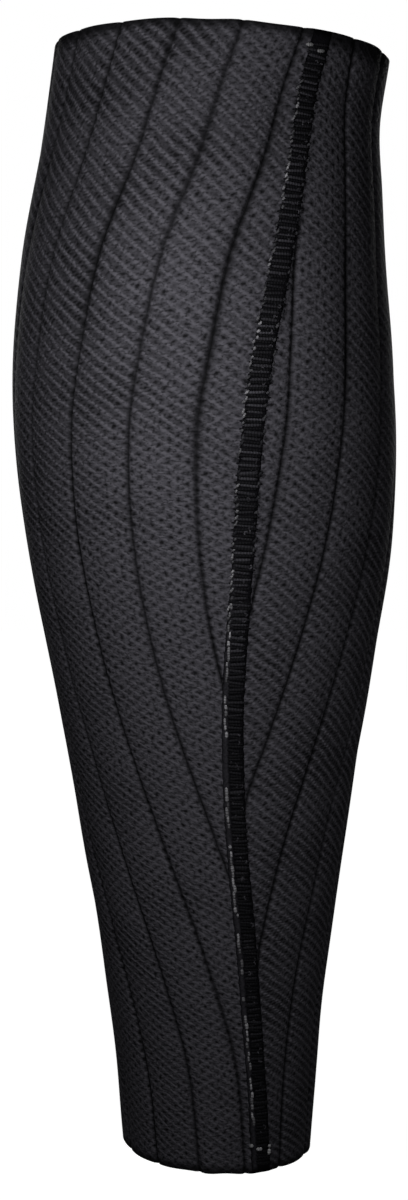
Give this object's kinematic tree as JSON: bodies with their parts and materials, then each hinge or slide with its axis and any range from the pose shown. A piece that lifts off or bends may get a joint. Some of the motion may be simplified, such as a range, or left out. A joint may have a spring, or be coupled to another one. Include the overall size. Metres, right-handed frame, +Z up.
{
  "type": "calf compression sleeve",
  "caption": "Ribbed knitted tube that tapers from a full calf to the ankle, open at both rims and closed by one flat seam up the back, with tacked seam ends.",
  "frame": {"origin": "on the leg's line at the widest part of the calf, 224 mm above the ankle rim", "axes": "+Z up the leg, -Y the back of the calf where the seam runs, +Y the shin, +X the side that the seam leans to"},
  "size_m": [0.1195, 0.1216, 0.3438],
  "materials": {
    "rib_knit": "matt black compression knit, lengthwise ribs, fine diagonal stitch texture",
    "seam_thread": "black cover stitches in close rungs, with a paler line of needle thread",
    "tack_thread": "pale grey thread, slightly glossy"
  },
  "bodies": {
    "root": {"knit_sleeve": "rib_knit", "back_seam": "seam_thread", "upper_bar_tack": "tack_thread", "lower_bar_tack": "tack_thread"}
  },
  "joints": []
}
